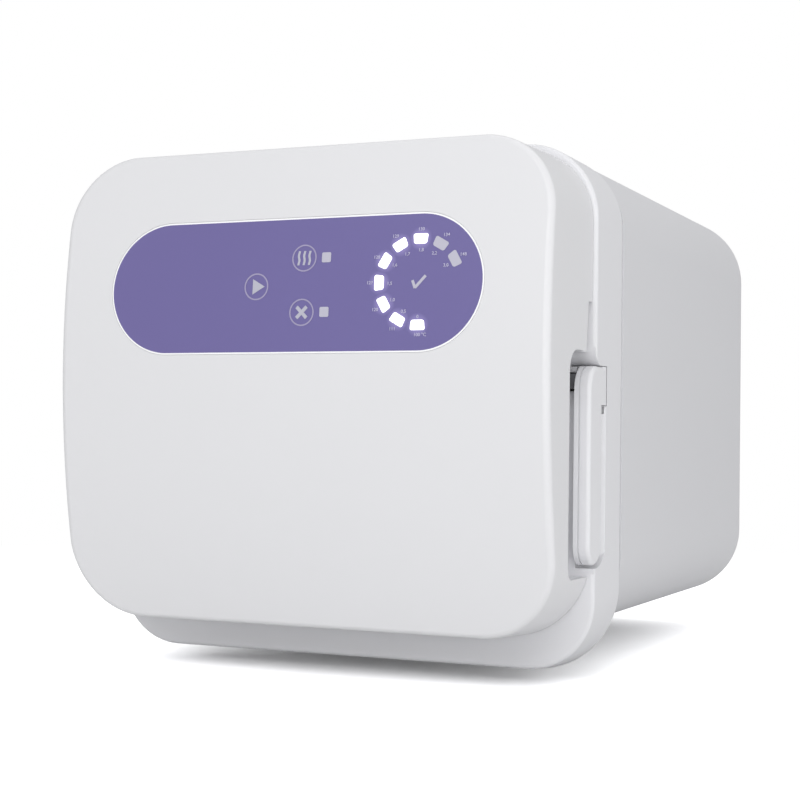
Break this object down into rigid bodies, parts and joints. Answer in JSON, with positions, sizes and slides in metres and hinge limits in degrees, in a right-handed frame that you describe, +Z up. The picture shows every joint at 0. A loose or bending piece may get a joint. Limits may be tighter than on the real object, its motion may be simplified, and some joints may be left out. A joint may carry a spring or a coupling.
{
  "type": "bench autoclave",
  "caption": "Compact bench autoclave with a crowned front door, violet control panel, side latch handle, rounded cabinet, round steel chamber and instrument trays.",
  "frame": {"origin": "middle of the footprint, on the bench under the rubber feet", "axes": "+X to the right of someone who faces the door, +Y towards the back, +Z up"},
  "size_m": [0.294, 0.442, 0.289],
  "materials": {
    "door_white": "satin moulded",
    "cabinet_white": "satin moulded",
    "bezel_grey_white": "satin moulded",
    "panel_violet": "printed film",
    "circuit_board": "solder mask",
    "switch_black": "moulded",
    "lamp_clear": "clear",
    "screw_steel": "plated",
    "pocket_grey": "satin moulded",
    "handle_white": "satin moulded",
    "bracket_steel": "zinc plated",
    "pin_steel": "ground",
    "lid_steel": "brushed",
    "gasket_rubber": "silicone",
    "lever_black": "black oxide",
    "magnet_grey": "plated",
    "chamber_steel": "brushed",
    "heater_foil": "foil",
    "jacket_felt": "needled felt",
    "rack_steel": "brushed",
    "tray_aluminium": "satin anodised",
    "foot_rubber": "matt",
    "rear_panel_paint": "powder coat",
    "connector_black": "moulded",
    "blade_brass": "plain",
    "valve_brass": "turned",
    "coil_black": "moulded",
    "sensor_steel": "turned",
    "pipe_copper": "drawn"
  },
  "bodies": {
    "cabinet": {"front_bezel": "bezel_grey_white", "front_frame": "bracket_steel", "hinge_pin": "pin_steel", "handle_pivot_pin": "pin_steel", "door_sensor": "connector_black", "chamber_vessel": "chamber_steel", "chamber_flange": "chamber_steel", "band_heater": "heater_foil", "insulation_jacket": "jacket_felt", "chamber_saddle": "bracket_steel", "tray_rack": "rack_steel", "tray_1": "tray_aluminium", "tray_2": "tray_aluminium", "tray_3": "tray_aluminium", "cabinet_cover": "cabinet_white", "base_plate": "bracket_steel", "rubber_foot_1": "foot_rubber", "rubber_foot_2": "foot_rubber", "rubber_foot_3": "foot_rubber", "rubber_foot_4": "foot_rubber", "foot_screws": "screw_steel", "rear_panel": "rear_panel_paint", "rear_panel_screws": "screw_steel", "mains_inlet": "connector_black", "inlet_blades": "blade_brass", "power_switch_frame": "connector_black", "fuse_holder_1": "connector_black", "fuse_holder_2": "connector_black", "drain_outlet": "valve_brass", "exhaust_pipe": "pipe_copper", "solenoid_valve": "coil_black", "safety_valve": "valve_brass", "pressure_sensor": "sensor_steel", "temperature_probe": "sensor_steel", "overheat_cutout": "sensor_steel", "power_board": "circuit_board", "heater_relay": "coil_black", "power_supply": "coil_black", "board_bracket": "bracket_steel"},
    "door": {"door_fascia": "door_white", "control_overlay": "panel_violet", "control_board": "circuit_board", "key_switches": "switch_black", "status_lamps": "lamp_clear", "board_screws": "screw_steel", "door_liner": "bezel_grey_white", "liner_screws": "screw_steel", "door_magnet": "magnet_grey", "handle_pocket": "pocket_grey", "door_bridge": "bracket_steel", "striker_pin": "pin_steel", "pressure_lid": "lid_steel", "lid_gasket": "gasket_rubber", "lid_stud": "pin_steel", "lid_nuts": "screw_steel"},
    "handle": {"handle_shell": "handle_white", "handle_inner": "pocket_grey", "handle_screws": "screw_steel", "latch_lever": "lever_black"},
    "switch": {"switch_rocker": "switch_black"}
  },
  "joints": [
    {"name": "door_hinge", "type": "hinge", "parent": "cabinet", "child": "door", "pos_m": [-0.1445, -0.1555, 0.1575], "axis": [0, 0, -1], "range_deg": [0, 105]},
    {"name": "handle_hinge", "type": "hinge", "parent": "cabinet", "child": "handle", "pos_m": [0.139, -0.1365, 0.1575], "axis": [0, 0, 1], "range_deg": [0, 45]},
    {"name": "switch_hinge", "type": "hinge", "parent": "cabinet", "child": "switch", "pos_m": [0.03, 0.2012, 0.0895], "axis": [1, 0, 0], "range_deg": [-18, 0]}
  ]
}
